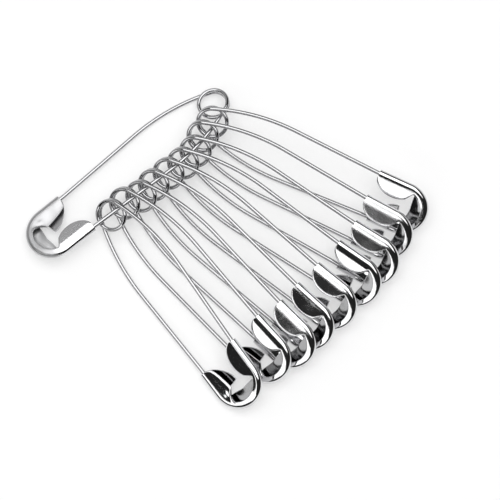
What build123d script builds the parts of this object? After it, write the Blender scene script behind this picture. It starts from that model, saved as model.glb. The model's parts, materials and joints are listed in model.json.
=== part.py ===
from build123d import *
import os
from math import atan2, cos, degrees, pi, radians, sin, sqrt

os.makedirs("parts", exist_ok=True)

# A bunch of ten alike safety pins: one carrier pin with nine pins hung on its needle.
# Lengths are in millimetres, angles in degrees, +Z up from the table.
# A pin by itself has its coil's axis at the origin, +X towards the guard, +Y towards the
# needle and +Z out of the guard's front face.

# The bent wire
wire_diameter = 0.9
coil_radius = 3.2
coil_gap = 0.13
flare_angle = 22
bow_rise = 1.1
settle_radius = 25.0
settle_share = 0.1
point_length = 5.0
tip_diameter = 0.12
level_share = 0.3

# The pressed guard
guard_width = 12.0
guard_length = 13.3
coil_to_guard = 37.6
mouth_step = 1.6
sheet = 0.34
wire_room = 0.13
lip_width = 0.5
leaf_depth = 3.5
leaf_turn = 50
front_lip_depth = 3.3
lobe_depth = 5.1
lobe_length = 5.3
lobe_cut_slant = 0.7
web_length = 3.6
web_hollow = 0.5
crimp_length = 1.7
crimp_width = 0.76
crimp_height = 0.1

# The bunch: how the carrier lies, and where each hung pin's coil sits on its needle
carrier_height = 2.3
carrier_roll = 14
carrier_pitch = 1
hung_height = 4.41
hung_roll = 32
hung_pitch = -0.8
needle_place_shares = (0.7437, 0.6609, 0.5822, 0.5031, 0.4156, 0.3339, 0.2533, 0.1722, 0.0907)
coil_offset_shares = (0.109, -0.022, 0.309, 0.178, 0.143, 0.234, 0.212, -0.176, -0.233)
headings = (-92.9, -87.4, -84.5, -82.2, -79, -74.6, -71.8, -68.2, -64.5)

# Worked out from the sizes above
wire_radius = wire_diameter / 2
rim_inside = wire_radius + wire_room
rim_outside = rim_inside + sheet
half_width = guard_width / 2 - rim_outside
fixed_mouth = coil_to_guard + mouth_step
guard_end = coil_to_guard + guard_length
bend_centre = guard_end - rim_outside - half_width
coil_pitch = wire_diameter + coil_gap
wrap_angle = 540 - 2 * flare_angle
coil_rise = coil_pitch * wrap_angle / 360
coil_bore = coil_radius - wire_radius
bow_radius = (half_width + bow_rise - coil_radius * cos(radians(flare_angle))) / (1 - cos(radians(flare_angle)))


def arm_corners(end):
    """Corners of an arm in its own plane, and the slope of the run between bow and guard.

    The run touches two circles: the bow's below it and the settling bend's above it.
    """
    flare = radians(flare_angle)
    start = Vector(-coil_radius * sin(flare), coil_radius * cos(flare))
    settled = Vector(coil_to_guard + guard_length * settle_share, half_width)
    bow = start + Vector(sin(flare), -cos(flare)) * bow_radius
    apart = settled + Vector(0, settle_radius) - bow
    both = bow_radius + settle_radius
    run = sqrt(apart.dot(apart) - both ** 2)
    slope = atan2(both, run) - atan2(apart.Y, apart.X)
    bowed = bow + Vector(sin(slope), cos(slope)) * bow_radius
    straight = bowed + Vector(cos(slope), -sin(slope)) * run
    return (start, bowed, straight, settled, Vector(end, half_width)), slope


def arm_path(side, end):
    """The centre line of an arm: side is +1 for the needle and -1 for the fixed arm."""
    (start, bowed, straight, settled, last), slope = arm_corners(end)
    flare = radians(flare_angle)
    flat = Wire([
        TangentArc(start, bowed, tangent=(cos(flare), sin(flare))).edge(),
        Line(bowed, straight).edge(),
        TangentArc(straight, settled, tangent=(cos(slope), -sin(slope))).edge(),
        Line(settled, last).edge(),
    ])
    if side < 0:
        flat = flat.mirror(Plane.XZ)
    level = coil_to_guard + guard_length * level_share
    lean = degrees(atan2(coil_rise / 2, level - start.X))
    return Pos(start.X, 0, side * coil_rise / 2) * Rot(0, side * lean, 0) * Pos(-start.X, 0, 0) * flat


def tube(path, radius=wire_radius):
    """A round bar along a path."""
    start = Plane(path.position_at(0), z_dir=path.tangent_at(0))
    bar = sweep(start * Circle(radius), path=path)
    share = bar.volume / (pi * radius ** 2 * path.length)
    print("tube of length", round(path.length, 2), "has", round(share, 4), "of section times length")
    return bar


def biarc(start, start_way, end, end_way):
    """Two arcs that leave start and reach end along the given unit directions."""
    span = end - start
    a = 2 * (1 - start_way.dot(end_way))
    b = 2 * span.dot(start_way + end_way)
    reach = (-b + sqrt(b * b + 4 * a * span.dot(span))) / (2 * a)
    first, second = start + start_way * reach, end - end_way * reach
    joint, way = (first + second) / 2, (second - first).normalized()
    return [TangentArc(start, joint, tangent=start_way).edge(), TangentArc(joint, end, tangent=way).edge()]


def coil_path(fixed, needle):
    """One and a half turns on quarter-turn biarcs, meeting both arms along their own lines."""
    quarters = round(wrap_angle / 90) + 1
    stops, ways = [], []
    for k in range(quarters + 1):
        share = k / quarters
        angle = radians(-90 - flare_angle - wrap_angle * share)
        stops.append(Vector(coil_radius * cos(angle), coil_radius * sin(angle), coil_rise * (share - 1 / 2)))
        climb = coil_pitch / (2 * pi)
        ways.append(Vector(coil_radius * sin(angle), -coil_radius * cos(angle), climb).normalized())
    ways[0], ways[-1] = -fixed.tangent_at(0), needle.tangent_at(0)
    edges = []
    for k in range(quarters):
        edges += biarc(stops[k], ways[k], stops[k + 1], ways[k + 1])
    return Wire(edges)


def coil_clearance(path):
    """Least gap of the coil's tube to itself, measured on points a half turn or more apart."""
    steps = round(wrap_angle)
    points = [path.position_at(k / steps) for k in range(steps + 1)]
    pairs = ((points[j], points[k]) for j in range(steps + 1) for k in range(j + 180, steps + 1))
    return min((p - q).length for p, q in pairs) - wire_diameter


def make_fixed_arm():
    end = bend_centre + wire_radius
    return tube(arm_path(-1, end))


def make_needle():
    """The moving arm: it ends in a long cone inside the guard."""
    path = arm_path(1, bend_centre + 3 * wire_radius - point_length)
    foot = Plane(path.position_at(1), z_dir=path.tangent_at(1))
    lift = Pos(0, 0, point_length / 2)
    point = foot * lift * Cone(wire_radius, tip_diameter / 2, point_length)
    return tube(path) + point


def make_coil():
    path = coil_path(arm_path(-1, bend_centre), arm_path(1, bend_centre))
    print("coil: least gap to itself", round(coil_clearance(path), 3), "mm")
    return tube(path)


def rim_path():
    """The U that the guard's edge follows."""
    top, bottom = (bend_centre, half_width), (bend_centre, -half_width)
    return Wire([
        Line((coil_to_guard, half_width), top).edge(),
        ThreePointArc(top, (bend_centre + half_width, 0), bottom).edge(),
        Line(bottom, (fixed_mouth, -half_width)).edge(),
    ])


def make_rim():
    """The rolled edge: a half round channel with a flat lip on both sides, open inwards."""
    outline = Face(Wire([
        ThreePointArc((0, rim_outside), (rim_outside, 0), (0, -rim_outside)).edge(),
        Line((0, -rim_outside), (-lip_width, -rim_outside)).edge(),
        Line((-lip_width, -rim_outside), (-lip_width, -rim_inside)).edge(),
        Line((-lip_width, -rim_inside), (0, -rim_inside)).edge(),
        ThreePointArc((0, -rim_inside), (rim_inside, 0), (0, rim_inside)).edge(),
        Line((0, rim_inside), (-lip_width, rim_inside)).edge(),
        Line((-lip_width, rim_inside), (-lip_width, rim_outside)).edge(),
        Line((-lip_width, rim_outside), (0, rim_outside)).edge(),
    ]))
    start = Plane((coil_to_guard, half_width, 0), x_dir=(0, 1, 0), z_dir=(1, 0, 0))
    return sweep(start * outline, path=rim_path())


def plate(edges, front):
    """A sheet in the front or back layer of the guard."""
    bottom = rim_inside if front else -rim_outside
    return Pos(0, 0, bottom) * extrude(Face(Wire(edges)), amount=sheet, dir=(0, 0, 1))


def leaf(mouth, side, depth, front):
    """A D-shaped leaf along one arm of the rim, from its mouth into the bend."""
    reach = half_width - lip_width / 2
    turn, half_turn = radians(leaf_turn), radians(90 + leaf_turn) / 2
    corner = Vector(bend_centre + reach * cos(turn), side * reach * sin(turn))
    bend = Vector(bend_centre + reach * cos(half_turn), side * reach * sin(half_turn))
    middle = Vector((mouth + corner.X) / 2 - depth / 4, side * (half_width - depth))
    edges = [
        ThreePointArc((mouth, side * reach), middle, corner).edge(),
        ThreePointArc(corner, bend, (bend_centre, side * reach)).edge(),
        Line((bend_centre, side * reach), (mouth, side * reach)).edge(),
    ]
    return plate(edges, front)


def lobe():
    """The back layer's lobe on the fixed side, cut off straight at its far end."""
    base, tip = -half_width + lip_width / 2, -half_width + lobe_depth
    cut = fixed_mouth + lobe_length
    bulge = Vector(fixed_mouth + lobe_length / 3, base + lobe_depth * 2 / 3)
    edges = [
        ThreePointArc((fixed_mouth, base), bulge, (cut, tip)).edge(),
        Line((cut, tip), (cut + lobe_cut_slant, base)).edge(),
        Line((cut + lobe_cut_slant, base), (fixed_mouth, base)).edge(),
    ]
    return plate(edges, False)


def web():
    """The back layer's bottom plate, with a hollow inner edge."""
    start = guard_end - rim_outside - web_length
    reach = half_width - lip_width / 2
    side = sqrt(reach ** 2 - (start - bend_centre) ** 2)
    edges = [
        ThreePointArc((start, -side), (start + web_hollow, 0), (start, side)).edge(),
        ThreePointArc((start, side), (bend_centre + reach, 0), (start, -side)).edge(),
    ]
    return plate(edges, False)


def crimp():
    """The small raised oval pressed into the fixed side."""
    place = (bend_centre + crimp_length / 2, -half_width + crimp_length, rim_outside)
    return Pos(*place) * extrude(Ellipse(crimp_length / 2, crimp_width / 2), amount=crimp_height)


def make_guard():
    front = leaf(coil_to_guard, 1, leaf_depth, True) + leaf(fixed_mouth, -1, front_lip_depth, True)
    guard = make_rim() + front + lobe() + web() + crimp()
    return guard.clean()


def place_of(centre, heading, roll, pitch):
    """Where a pin stands: its coil's centre, its heading on the table and its two tilts."""
    return Pos(*centre) * Rot(0, 0, heading) * Rot(0, -pitch, 0) * Rot(roll, 0, 0)


def needle_spot(share):
    """The point at a share of the carrier's needle, and the wire's direction there."""
    path = carrier_place * arm_path(1, bend_centre)
    return path.position_at(share), path.tangent_at(share)


def hung_place(number):
    spot, way = needle_spot(needle_place_shares[number])
    heading = headings[number]
    offset = coil_offset_shares[number] * coil_bore
    turn = radians(heading)
    centre = (spot.X + offset * cos(turn), spot.Y + offset * sin(turn), hung_height)
    return place_of(centre, heading, hung_roll, hung_pitch)


carrier_place = place_of((0, 0, carrier_height), 180, carrier_roll, carrier_pitch)
places = {"carrier": carrier_place}
for number in range(len(headings)):
    places["pin" + str(number + 1)] = hung_place(number)

pieces = {
    "fixed_arm": make_fixed_arm(),
    "coil": make_coil(),
    "needle": make_needle(),
    "guard": make_guard(),
}

# The whole bunch is set so that its box stands on the origin
loose = [place * piece for place in places.values() for piece in pieces.values()]
box = Compound(children=loose).bounding_box()
centring = Pos(-box.center().X, -box.center().Y, -box.min.Z)
for pin, place in places.items():
    for name, piece in pieces.items():
        export_step(centring * place * piece, "parts/" + pin + "_" + name + ".step")
print("box", box.size)
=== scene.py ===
import bpy, json
import numpy as np
from math import acos, atan2, cos, pi, radians, sin, sqrt
from mathutils import Matrix, Vector


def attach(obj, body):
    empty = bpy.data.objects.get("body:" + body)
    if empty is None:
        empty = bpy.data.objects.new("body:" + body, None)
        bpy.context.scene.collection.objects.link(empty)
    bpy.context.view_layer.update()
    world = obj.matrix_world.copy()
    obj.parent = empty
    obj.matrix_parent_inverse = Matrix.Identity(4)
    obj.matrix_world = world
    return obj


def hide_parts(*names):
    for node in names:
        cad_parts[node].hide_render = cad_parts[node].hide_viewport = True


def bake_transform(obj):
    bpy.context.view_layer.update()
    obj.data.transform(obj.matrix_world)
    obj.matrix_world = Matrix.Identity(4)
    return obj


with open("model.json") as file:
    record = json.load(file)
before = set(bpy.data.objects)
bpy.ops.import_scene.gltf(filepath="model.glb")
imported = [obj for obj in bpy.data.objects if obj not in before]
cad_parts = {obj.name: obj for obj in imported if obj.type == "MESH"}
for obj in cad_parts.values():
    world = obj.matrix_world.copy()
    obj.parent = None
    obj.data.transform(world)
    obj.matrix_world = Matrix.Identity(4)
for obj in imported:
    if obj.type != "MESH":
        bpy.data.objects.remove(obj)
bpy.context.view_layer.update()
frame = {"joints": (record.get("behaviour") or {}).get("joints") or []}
mm = 0.001  # the pins' sizes are in millimetres, and the studio's in metres
joints = {joint["name"]: joint for joint in frame["joints"]}
pinNames = ["carrier"] + ["pin" + str(number) for number in range(1, 10)]


# where each pin lies: its coil's middle and the way its arms point
lie = {"carrierPitch": 1.0, "hungPitch": -0.8}  # degrees that the guard end rises above the coil


def pinPlace(name):
    hinge = joints[name + "_open"]
    axis = Vector(hinge["axis"])
    pitch = radians(lie["carrierPitch" if name == "carrier" else "hungPitch"])
    roll = acos(axis.z / cos(pitch))
    heading = atan2(axis.y, axis.x) - atan2(-sin(roll), -cos(roll) * sin(pitch))
    turned = Matrix.Rotation(heading, 4, "Z") @ Matrix.Rotation(-pitch, 4, "Y")
    turned = turned @ Matrix.Rotation(roll, 4, "X")
    return Matrix.Translation(Vector(hinge["pos_m"])) @ turned


def placedMesh(name, points, faces, place):
    mesh = bpy.data.meshes.new(name)
    mesh.from_pydata([place @ (Vector(point) * mm) for point in points.tolist()], [], faces)
    mesh.validate()
    mesh.shade_smooth()
    piece = bpy.data.objects.new(name, mesh)
    bpy.context.collection.objects.link(piece)
    return piece


# the bent wire: fixed arm, one and a half turns of spring, and the needle
wire = {
    "radius": 0.45,
    "coilRadius": 3.2,
    "coilPitch": 1.03,        # rise of one turn
    "flare": radians(22),     # how far each arm starts turned outwards
    "bowRise": 1.1,           # the bow's height over the arm inside the guard
    "settleRadius": 25.0,
    "settledAt": 38.93,       # from here each arm runs along the guard
    "armSpread": 5.08,        # half the distance between the arms inside the guard
    "levelAt": 41.59,         # here both arms are on the same level
    "fixedEnd": 45.35,
    "needleEnd": 46.25,
    "pointLength": 5.0,
    "pointPower": 0.8,        # the point is slightly rounder than a cone
    "tipRadius": 0.05,
    "step": 0.7,
    "coilStep": 0.22,
    "sides": 18,
    "sharpAngle": radians(60),
}


def walkArm(end):
    # bow, straight run and settling bend, where the run touches both bends' circles
    flare, settleRadius = wire["flare"], wire["settleRadius"]
    point = np.array([-wire["coilRadius"] * sin(flare), wire["coilRadius"] * cos(flare)])
    bowRadius = (wire["armSpread"] + wire["bowRise"] - point[1]) / (1 - cos(flare))
    bowCentre = point + bowRadius * np.array([sin(flare), -cos(flare)])
    apart = np.array([wire["settledAt"], wire["armSpread"] + settleRadius]) - bowCentre
    run = sqrt(apart @ apart - (bowRadius + settleRadius) ** 2)
    closing = atan2(bowRadius + settleRadius, run) - atan2(apart[1], apart[0])
    bow = (bowRadius * (flare + closing), -flare - closing)
    heading, points = flare, [point]
    for length, turn in (bow, (run, 0.0), (settleRadius * closing, closing)):
        count = round(length / wire["step"])
        half = turn / count / 2
        chord = length / count * (sin(half) / half if half else 1)
        for _ in range(count):
            heading += half
            point = point + chord * np.array([cos(heading), sin(heading)])
            heading += half
            points.append(point)
    count = round((end - point[0]) / (wire["step"] / 2))
    points += [point + np.array([(end - point[0]) * (i + 1) / count, 0]) for i in range(count)]
    return np.array(points)


def wirePath():
    wrap = 3 * pi - 2 * wire["flare"]
    rise = wire["coilPitch"] * wrap / (2 * pi)
    halves = []
    for side, end in ((-1, wire["fixedEnd"]), (1, wire["needleEnd"])):
        flat = walkArm(end)
        start = flat[0][0]
        level = side * rise / 2 * (1 - (flat[:, 0] - start) / (wire["levelAt"] - start))
        halves.append(np.column_stack([flat[:, 0], side * flat[:, 1], level]))
    count = round(wrap * wire["coilRadius"] / wire["coilStep"])
    share = np.arange(1, count) / count
    turn = -pi / 2 - wire["flare"] - wrap * share
    ring = wire["coilRadius"]
    coil = np.column_stack([ring * np.cos(turn), ring * np.sin(turn), rise * (share - 0.5)])
    return np.vstack([halves[0][::-1], coil, halves[1]])


def roundTube(path, radii, sides):
    way = np.gradient(path, axis=0)
    way /= np.linalg.norm(way, axis=1)[:, None]
    across = np.cross(way[0], (0, 0, 1.0))
    angles = np.arange(sides) * 2 * pi / sides
    around = np.column_stack([np.cos(angles), np.sin(angles)])
    rings = []
    for centre, forward, radius in zip(path, way, radii):
        across = across - forward * np.dot(across, forward)
        across /= np.linalg.norm(across)
        over = np.cross(forward, across)
        rings.append(centre + radius * (around[:, :1] * across + around[:, 1:] * over))
    points = np.vstack(rings)
    faces = []
    for ring in range(len(path) - 1):
        for side in range(sides):
            after = (side + 1) % sides
            low, high = ring * sides, (ring + 1) * sides
            faces.append((low + side, low + after, high + after, high + side))
    faces.append(tuple(range(sides))[::-1])
    faces.append(tuple(range(len(points) - sides, len(points))))
    return points, faces


def makeWire(name, place):
    path = wirePath()
    toEnd = wire["needleEnd"] - path[:, 0]
    isNeedle = path[:, 1] > wire["coilRadius"]
    taper = np.clip(toEnd / wire["pointLength"], 0, 1) ** wire["pointPower"]
    pointed = wire["tipRadius"] + (wire["radius"] - wire["tipRadius"]) * taper
    radii = np.where(isNeedle, pointed, wire["radius"])
    points, faces = roundTube(path, radii, wire["sides"])
    piece = placedMesh(name + "Wire", points, faces, place)
    piece.data.set_sharp_from_angle(angle=wire["sharpAngle"])
    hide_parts(name + "_fixed_arm", name + "_coil", name + "_needle")
    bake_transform(piece)
    return piece


# the pressed guard: one sheet rolled round the wire, with a leaf, a lobe and a web
guard = {
    "mouth": 37.6,            # where the sharp arm goes in
    "fixedMouth": 39.2,
    "bendCentre": 44.9,
    "spread": 5.08,           # the rolled rim's line runs with the arms
    "roll": 0.75,             # from the wire's middle to the middle of the sheet
    "sheet": 0.32,
    "lip": 0.72,              # the least that both sheets reach past the wire
    "leafDepth": 3.5,
    "leafLength": 8.6,
    "leafPowers": (2.2, 0.625),  # these make the leaf's outline a rounded D
    "fixedLipDepth": 3.4,
    "fixedLipStart": 0.3,     # share of its depth that it has at the mouth
    "fixedLipPower": 0.35,
    "fixedLipFade": (radians(-82), radians(45)),  # where round the bend it narrows, and over how much
    "lobeDepth": 5.05,
    "lobeLength": 5.3,
    "lobePower": 0.7,
    "lobeCut": 0.7,
    "webReach": 1.5,          # from the bend's centre to the web's edge
    "webHollow": 0.45,
    "fixedDrop": 0.5,         # the front sheet is pressed down beside the fixed arm
    "lobeBowl": 0.16,
    "webDish": 0.3,
    "bowlUntil": radians(-85.5),  # the lobe is bowled up to here, then the web is dished
    "crimpAt": (45.75, -3.4),
    "crimpSize": (0.85, 0.42),
    "crimpDepth": 0.1,
    "crimpBlend": 1.3,
    "riseWidth": 1.3,
    "lipCurl": (0.5, 0.06),   # how wide the leaf's edge is curled down, and how far
    # how each leaf was pressed: its rise beside the rim and its lean
    "leafShapes": {
        "carrier": (0.24, -0.04),
        "pin1": (0.0, -0.14),
        "pin2": (0.16, 0.0),
        "pin3": (0.15, 0.14),
        "pin4": (0.08, 0.13),
        "pin5": (0.17, 0.12),
        "pin6": (0.17, -0.03),
        "pin7": (0.17, 0.105),
        "pin8": (0.2, 0.09),
        "pin9": (0.04, -0.06),
    },
    # the leaf's grain and dullness, painted shade inside the roll, and wear of the rest
    "leafSkins": {
        "carrier": (0.35, 0.05, 0.25, 0.24),
        "pin1": (0.35, 0.02, 1.0, 0.0),
        "pin2": (0.1, 0.0, 1.0, 0.0),
        "pin3": (0.9, 0.08, 1.0, 0.0),
        "pin4": (0.45, 0.03, 1.0, 0.0),
        "pin5": (0.6, 0.05, 1.0, 0.0),
        "pin6": (0.1, 0.0, 0.9, 0.0),
        "pin7": (0.8, 0.09, 1.0, 0.0),
        "pin8": (0.5, 0.16, 0.8, 0.0),
        "pin9": (0.2, 0.0, 0.7, 0.0),
    },
    "skinEnd": (3.0, 2.0),    # the leaf's skin ends this far past the bend's centre, over this length
    "skinSide": (-0.5, 1.5),  # and starts this far across, over this width
    "wearThins": 2.0,         # worn plating looks this much darker than it is dull
    "armStep": 0.24,
    "bendStep": 0.3,
    "mouthPacking": 1.2,      # stations lie closer together at the needle's mouth
    "lipPacking": 1.4,        # and points closer together at the lip
    "lipPoints": 13,
    "rollPoints": 13,
    "edgePoints": 5,          # round the sheet's rolled-over edge
    "edgeSweep": 70,          # degrees to either side
    "edgeBulge": 0.6,
    "edgePower": 0.5,         # the edge is squarer than a half round
    "sharpAngle": radians(50),
}


def easeStep(value):
    value = np.clip(value, 0, 1)
    return value * value * (3 - 2 * value)


def guardStations():
    # walks the rim from the needle's mouth round to the fixed mouth
    armCount = round((guard["bendCentre"] - guard["mouth"]) / guard["armStep"])
    fixedCount = round((guard["bendCentre"] - guard["fixedMouth"]) / guard["armStep"])
    bendCount = round(pi * guard["spread"] / guard["bendStep"])
    stations = []
    for i in range(armCount):
        share = (i / armCount) ** guard["mouthPacking"]
        along = guard["mouth"] + (guard["bendCentre"] - guard["mouth"]) * share
        stations.append((along, guard["spread"], pi / 2))
    for i in range(bendCount):
        angle = pi / 2 - pi * i / bendCount
        along = guard["bendCentre"] + guard["spread"] * cos(angle)
        stations.append((along, guard["spread"] * sin(angle), angle))
    for i in range(fixedCount + 1):
        along = guard["bendCentre"] - (guard["bendCentre"] - guard["fixedMouth"]) * i / fixedCount
        stations.append((along, -guard["spread"], -pi / 2))
    return np.array(stations)


def leafWidths(x, angle):
    # how far the front sheet reaches inwards from the rim at each station
    lip = guard["lip"]
    bendTravel = (pi / 2 - angle) * guard["spread"]
    travel = x - guard["mouth"]
    travel = np.where(angle < pi / 2, guard["bendCentre"] - guard["mouth"] + bendTravel, travel)
    share = np.clip(travel / guard["leafLength"], 0, 1)
    inner, outer = guard["leafPowers"]
    leaf = lip + (guard["leafDepth"] - lip) * (1 - np.abs(2 * share - 1) ** inner) ** outer
    fromMouth = (x - guard["fixedMouth"]) / (guard["bendCentre"] - guard["fixedMouth"])
    start = guard["fixedLipStart"]
    grown = start + (1 - start) * np.clip(fromMouth, 0, 1) ** guard["fixedLipPower"]
    fixedLip = guard["fixedLipDepth"] * grown
    fadeFrom, fadeOver = guard["fixedLipFade"]
    fade = easeStep((angle - fadeFrom) / fadeOver)
    fixedLip = np.where(angle > -pi / 2, guard["fixedLipDepth"] * (1 - fade) + lip * fade, fixedLip)
    return np.where(angle > 0, leaf, fixedLip)


def backWidths(x, angle):
    lip = guard["lip"]
    facing = np.maximum(np.cos(angle), 1e-3)  # kept off nought, as the web's edge runs across the arms
    hollow = guard["webHollow"] * np.cos(angle) ** 2
    web = guard["spread"] - (guard["webReach"] + hollow) / facing
    web = np.maximum(web, lip)
    share = np.clip((x - guard["fixedMouth"]) / guard["lobeLength"], 0, 1)
    lobe = lip + (guard["lobeDepth"] - lip) * np.sin(share * pi / 2) ** guard["lobePower"]
    past = np.clip((x - guard["fixedMouth"] - guard["lobeLength"]) / guard["lobeCut"], 0, 1)
    lobe = lobe + (lip - lobe) * past
    return np.where(angle <= -pi / 2, lobe, np.where(angle >= pi / 2, lip, web))


def leafLift(reach, edge, rise, lean):
    curlWidth, curl = guard["lipCurl"]
    risen = rise * (1 - (1 - min(reach / guard["riseWidth"], 1)) ** 2)
    return risen + lean * reach - curl * max((reach - edge) / curlWidth + 1, 0) ** 2


def guardSections(rise, lean):
    stations = guardStations()
    x, y, angle = stations.T
    inward = -np.column_stack([np.cos(angle), np.sin(angle)])
    front, back = leafWidths(x, angle), backWidths(x, angle)
    roll = guard["roll"]
    lipShares = 1 - np.linspace(0, 1, guard["lipPoints"]) ** guard["lipPacking"]
    sections = []
    for i in range(len(stations)):
        along = []
        for share in lipShares:  # the front sheet, from its edge to the roll
            reach = front[i] * share
            wide = (front[i] - guard["lip"]) / (guard["leafDepth"] - guard["lip"])
            if angle[i] > 0:
                lift = leafLift(reach, front[i], rise, lean) * easeStep(angle[i] / (pi / 2))
            else:
                lift = -guard["fixedDrop"] * wide * easeStep(share)
            along.append((reach, roll + lift))
        for j in range(1, guard["rollPoints"] - 1):
            turn = pi / 2 + pi * j / (guard["rollPoints"] - 1)
            along.append((roll * cos(turn), roll * sin(turn)))
        for share in lipShares[::-1]:  # the back sheet, from the roll to its edge
            reach = back[i] * share
            wide = (back[i] - guard["lip"]) / (guard["lobeDepth"] - guard["lip"])
            dip = guard["lobeBowl"] if angle[i] < guard["bowlUntil"] else guard["webDish"]
            along.append((reach, -roll - dip * wide * sin(pi * share)))
        along = np.array(along)
        centre = np.array([x[i], y[i]])
        flat = centre + along[:, :1] * inward[i]
        sections.append(np.column_stack([flat, along[:, 1]]))
    grid = np.array(sections)
    away = np.linalg.norm((grid[:, :, :2] - guard["crimpAt"]) / np.array(guard["crimpSize"]), axis=2)
    crimped = guard["crimpDepth"] * (1 - easeStep(away / guard["crimpBlend"]))
    grid[:, :, 2] += np.where(grid[:, :, 2] > 0, crimped, 0)
    return grid


def thickSheet(grid, thickness):
    # gives the sheet its two sides, and a rolled-over edge along both lips
    alongWay, acrossWay = np.gradient(grid, axis=0), np.gradient(grid, axis=1)
    normal = np.cross(acrossWay, alongWay)
    normal /= np.linalg.norm(normal, axis=2)[:, :, None]
    outward = acrossWay / np.linalg.norm(acrossWay, axis=2)[:, :, None]
    half = thickness / 2
    edge = guard["edgePoints"]
    loops = []
    for i in range(len(grid)):
        outside = grid[i] + normal[i] * half
        inner = grid[i] - normal[i] * half
        edgeA, edgeB = [], []
        for angle in np.radians(np.linspace(guard["edgeSweep"], -guard["edgeSweep"], edge)):
            past = abs(cos(angle)) ** guard["edgePower"] * guard["edgeBulge"] * half
            up = np.sign(angle) * abs(sin(angle)) ** guard["edgePower"] * half
            edgeB.append(grid[i, -1] + outward[i, -1] * past + normal[i, -1] * up)
            edgeA.append(grid[i, 0] - outward[i, 0] * past - normal[i, 0] * up)
        loops.append(np.vstack([outside, edgeB, inner[::-1], edgeA]))
    count = len(loops[0])
    points = np.vstack(loops)
    faces = []
    for i in range(len(loops) - 1):
        for j in range(count):
            after = (j + 1) % count
            low, high = i * count, (i + 1) * count
            faces.append((low + j, low + after, high + after, high + j))
    across = grid.shape[1]
    backStart = across + edge  # the inner side's first point in a loop
    backEnd = backStart + across - 1
    mouth = [(j, j + 1, backEnd - 1 - j, backEnd - j) for j in range(across - 1)]
    mouth.append(tuple(range(across - 1, backStart + 1)))
    mouth.append(tuple(k % count for k in range(backEnd, count + 1)))
    lastLoop = (len(loops) - 1) * count
    faces += [face[::-1] for face in mouth]
    faces += [tuple(lastLoop + k for k in face) for face in mouth]
    inside = np.tile(np.arange(count) < across, len(loops)) * 1.0  # faces the wire
    return points, faces, inside


def makeGuard(name, place):
    grid = guardSections(*guard["leafShapes"][name])
    points, faces, inside = thickSheet(grid, guard["sheet"])
    piece = placedMesh(name + "Guard", points, faces, place)
    grain, leafDull, paintedShade, restWear = guard["leafSkins"][name]
    (endAt, endOver), (sideAt, sideOver) = guard["skinEnd"], guard["skinSide"]
    beforeEnd = easeStep((guard["bendCentre"] + endAt - points[:, 0]) / endOver)
    onLeaf = beforeEnd * easeStep((points[:, 1] - sideAt) / sideOver) * (1 - inside)
    # painted shade on the sheet's sides that face the wire, and wear of the rest
    thinned = np.maximum(inside * paintedShade, guard["wearThins"] * restWear * (1 - onLeaf))
    dullness = restWear + (leafDull - restWear) * onLeaf
    for skin, values in (("thinned", thinned), ("grain", onLeaf * grain), ("dullness", dullness)):
        piece.data.attributes.new(skin, "FLOAT", "POINT").data.foreach_set("value", values)
    piece.data.set_sharp_from_angle(angle=guard["sharpAngle"])
    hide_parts(name + "_guard")
    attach(piece, name + "_frame")
    return piece


wires, guards = [], []
for name in pinNames:
    place = pinPlace(name)
    wires.append(makeWire(name, place))
    guards.append(makeGuard(name, place))
print("pins built:", len(wires), "wires and", len(guards), "guards")


# the finishes, where this class wraps a socket, so that shader maths is written as plain expressions
class Shade:
    def __init__(self, tree, socket=None):
        self.tree, self.socket = tree, socket

    def node(self, kind, settings=None, inputs=None, output=0):
        made = self.tree.nodes.new(kind)
        for key, value in (settings or {}).items():
            if key == "stops":
                ramp = made.color_ramp
                while len(ramp.elements) < len(value):
                    ramp.elements.new(0.5)
                for element, (place, grey) in zip(ramp.elements, value):
                    element.position = place
                    element.color = (grey, grey, grey, 1)
            else:
                setattr(made, key, value)
        for key, value in (inputs or {}).items():
            if isinstance(value, Shade):
                self.tree.links.new(value.socket, made.inputs[key])
            else:
                made.inputs[key].default_value = value
        return Shade(self.tree, made.outputs[output]) if len(made.outputs) else made

    def maths(self, operation, first, second):
        return self.node("ShaderNodeMath", {"operation": operation}, {0: first, 1: second})

    def __add__(self, other):
        return self.maths("ADD", self, other)

    def __radd__(self, other):
        return self.maths("ADD", other, self)

    def __mul__(self, other):
        return self.maths("MULTIPLY", self, other)

    def __rmul__(self, other):
        return self.maths("MULTIPLY", other, self)


def newFinish(name):
    finish = bpy.data.materials.new(name)
    finish.use_nodes = True
    finish.node_tree.nodes.clear()
    return finish, Shade(finish.node_tree)


def mixed(at, share, first, second):
    inputs = {"Factor": share, "A": first, "B": second}
    return at.node("ShaderNodeMix", {"data_type": "RGBA"}, inputs, "Result")


plating = {
    "guardTone": (0.73, 0.73, 0.74),
    "wireTone": (0.50, 0.50, 0.51),
    "wornShade": 0.82,        # worn patches are this much of the clean tone
    "insideShade": 0.4,       # painted shade: the plating is darkened inside the roll, where shade falls; worn plating takes the same tone
    "dull": 0.05,
    "guardGrain": 0.5,
    "wireGrain": 0.06,
    "cloudScale": 420.0,      # per metre: patches of about two millimetres
    "grainScale": 5200.0,
    "speckScale": 2600.0,
    "pebbleScale": 3600.0,
    "coarseness": 1.1,        # the pebbles' share of the bump on a grained leaf
    "worn": (0.42, 0.68),     # the clouds' tones where wear starts and is full
    "pitSize": (0.04, 0.16),
    "wornDull": 0.12,
    "pitDull": 0.4,
    "grainDull": 0.02,
    "pitShade": 0.4,
    "wearStrength": 2.0,
    "grainBump": 0.6,         # the fine grain's height, where the clouds' is 1
    "bumpStrength": 0.5,
    "bumpDepth": 0.00002,     # in metres
}


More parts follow.
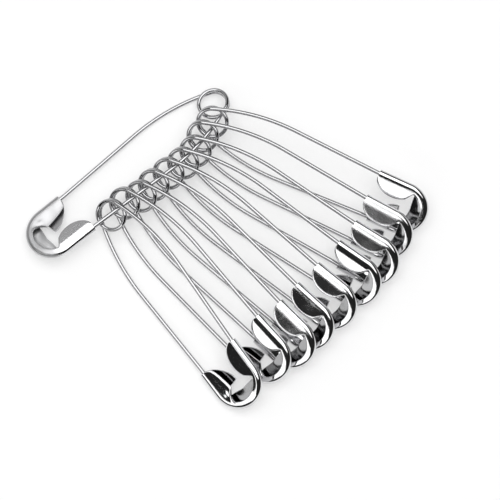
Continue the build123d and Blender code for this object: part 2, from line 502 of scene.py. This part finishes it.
def platedSteel(name, tone, grain):
    finish, at = newFinish(name)
    where = at.node("ShaderNodeTexCoord", output="Object")

    def noise(scale, **more):
        return at.node("ShaderNodeTexNoise", {}, {"Vector": where, "Scale": plating[scale], **more}, "Fac")

    def spread(value, ends, first, last):
        limits = {"From Min": ends[0], "From Max": ends[1], "To Min": first, "To Max": last}
        return at.node("ShaderNodeMapRange", {"clamp": True}, {"Value": value, **limits})

    def painted(skin):
        return at.node("ShaderNodeAttribute", {"attribute_name": skin}, output="Fac")

    cloud = noise("cloudScale", Detail=3.0)
    fine = noise("grainScale", Detail=4.0, Roughness=0.6)
    specks = {"Vector": where, "Scale": plating["speckScale"]}
    speck = at.node("ShaderNodeTexVoronoi", {}, specks, "Distance")
    worn = spread(cloud, plating["worn"], 0.0, 1.0)
    pit = spread(speck, plating["pitSize"], 1.0, 0.0)
    thinned, coarse, matt = painted("thinned"), painted("grain"), painted("dullness")
    rough = plating["dull"] + worn * (grain * plating["wornDull"]) + fine * plating["grainDull"]
    rough = rough + pit * worn * (grain * plating["pitDull"]) + matt
    darker = tuple(part * plating["wornShade"] for part in tone)
    # the darkest tone, for the painted shade inside the roll and for worn plating
    shadedAndWornTone = tuple(part * plating["insideShade"] for part in darker)
    wear = (worn * fine + pit * worn * plating["pitShade"]) * (grain * plating["wearStrength"])
    colour = mixed(at, thinned, mixed(at, wear, (*tone, 1), (*darker, 1)), (*shadedAndWornTone, 1))
    pebbles = noise("pebbleScale", Detail=2.0)
    height = (fine * plating["grainBump"] + cloud) * grain + pebbles * coarse * plating["coarseness"]
    bumps = {"Strength": plating["bumpStrength"], "Distance": plating["bumpDepth"], "Height": height}
    bump = at.node("ShaderNodeBump", {}, bumps)
    looks = {"Base Color": colour, "Metallic": 1.0, "Roughness": rough, "Normal": bump}
    skin = at.node("ShaderNodeBsdfPrincipled", {}, looks)
    at.node("ShaderNodeOutputMaterial", {}, {"Surface": skin})
    return finish


guardFinish = platedSteel("guardPlating", plating["guardTone"], plating["guardGrain"])
wireFinish = platedSteel("wirePlating", plating["wireTone"], plating["wireGrain"])
for piece in wires:
    piece.data.materials.append(wireFinish)
for piece in guards:
    piece.data.materials.append(guardFinish)
print("finishes made")


# floor, light and camera
studio = {
    "floorSize": 3.0,
    "floorTone": (0.97, 0.97, 0.97),
    "floorGlow": 0.40,        # share of plain white in the floor that the camera and the metal see
    "fill": 0.30,             # even light from all round on matt things
    "wallTone": 0.018,        # what the metal sees above the horizon, between the lamps
    "horizon": (0.015, 0.05),  # heights where the white of the floor starts to fade and ends
    "horizonTone": 0.9,
}


def makeFloor():
    bpy.ops.mesh.primitive_grid_add(x_subdivisions=8, y_subdivisions=8, size=studio["floorSize"])
    floor = bpy.context.object
    floor.name = "floor"
    finish, at = newFinish("paleFloor")
    seen = at.node("ShaderNodeLightPath", output="Is Camera Ray")
    mirrored = at.node("ShaderNodeLightPath", output="Is Glossy Ray")
    through = at.node("ShaderNodeLightPath", output="Is Transmission Ray")
    share = at.maths("MINIMUM", seen + mirrored + through, 1.0) * studio["floorGlow"]
    matt = at.node("ShaderNodeBsdfDiffuse", {}, {"Color": (*studio["floorTone"], 1)})
    glow = at.node("ShaderNodeEmission", {}, {"Color": (1, 1, 1, 1), "Strength": 1.0})
    both = at.node("ShaderNodeMixShader", {}, {0: share, 1: matt, 2: glow})
    at.node("ShaderNodeOutputMaterial", {}, {"Surface": both})
    floor.data.materials.append(finish)


def makeWorld():
    world = bpy.data.worlds.new("studio")
    bpy.context.scene.world = world
    world.use_nodes = True
    world.node_tree.nodes.clear()
    at = Shade(world.node_tree)
    way = at.node("ShaderNodeTexCoord", output="Generated")
    height = at.node("ShaderNodeSeparateXYZ", {}, {"Vector": way}, "Z")
    wall, (fadeFrom, fadeTo) = studio["wallTone"], studio["horizon"]
    stops = [(0.0, 1.0), (fadeFrom, studio["horizonTone"]), (fadeTo, wall), (1.0, wall)]
    room = at.node("ShaderNodeValToRGB", {"stops": stops}, {"Fac": height}, "Color")
    mirrored = at.node("ShaderNodeLightPath", output="Is Glossy Ray")
    through = at.node("ShaderNodeLightPath", output="Is Transmission Ray")
    seen = at.node("ShaderNodeLightPath", output="Is Camera Ray")
    fill = (studio["fill"],) * 3 + (1,)
    tone = mixed(at, seen, mixed(at, mirrored + through, fill, room), (1, 1, 1, 1))
    sky = at.node("ShaderNodeBackground", {}, {"Color": tone, "Strength": 1.0})
    at.node("ShaderNodeOutputWorld", {}, {"Surface": sky})


lamps = {
    # name: (distance, degrees round from the camera's right, degrees up, width, height, radiance)
    "topBox": (0.90, 90, 84, 1.14, 0.94, 2.2),
    "leftBox": (0.90, 228, 34, 1.10, 0.19, 1.7),
    "rightBox": (0.80, 40, 12, 1.00, 0.16, 0.5),
    "backdrop": (0.95, 135, 26, 1.80, 0.80, 0.42),
}

photo = {
    "azimuth": radians(39.67),   # how far the picture's up turns from the part's Y to its X
    "elevation": radians(80),
    "distance": 0.4,
    "focal": 1840.0,             # in pixels of a picture 500 across
    "aimPixel": (230, 250),
    "aimFromCoil": (-17.66, -27.06, -2.3),
    "size": 500,
    "sensor": 36.0,
    "clip": (0.01, 20.0),
}
pictureUp = Vector((sin(photo["azimuth"]), cos(photo["azimuth"]), 0))
pictureRight = Vector((cos(photo["azimuth"]), -sin(photo["azimuth"]), 0))
aim = Vector(joints["carrier_open"]["pos_m"]) + Vector(photo["aimFromCoil"]) * mm


def makeLamp(name, distance, around, up, width, height, radiance):
    lamp = bpy.data.lights.new(name, "AREA")
    lamp.shape = "RECTANGLE"
    lamp.size, lamp.size_y = width, height
    lamp.energy = radiance * pi * width * height
    level = pictureRight * cos(radians(around)) + pictureUp * sin(radians(around))
    way = level * cos(radians(up)) + Vector((0, 0, sin(radians(up))))
    thing = bpy.data.objects.new(name, lamp)
    thing.location = aim + way * distance
    thing.rotation_euler = (-way).to_track_quat("-Z", "Y").to_euler()
    bpy.context.collection.objects.link(thing)


def makeCamera():
    lens = bpy.data.cameras.new("camera")
    lens.sensor_width = photo["sensor"]
    lens.lens = photo["focal"] / photo["size"] * lens.sensor_width
    lens.shift_x = (photo["size"] / 2 - photo["aimPixel"][0]) / photo["size"]
    lens.shift_y = (photo["aimPixel"][1] - photo["size"] / 2) / photo["size"]
    lens.clip_start, lens.clip_end = photo["clip"]
    camera = bpy.data.objects.new("camera", lens)
    back = -pictureUp * cos(photo["elevation"]) + Vector((0, 0, sin(photo["elevation"])))
    camera.location = aim + back * photo["distance"]
    camera.rotation_euler = (-back).to_track_quat("-Z", "Y").to_euler()
    bpy.context.collection.objects.link(camera)
    bpy.context.scene.camera = camera


makeFloor()
makeWorld()
for name, values in lamps.items():
    makeLamp(name, *values)
makeCamera()
bpy.context.scene.view_settings.view_transform = "Standard"
print("studio set")
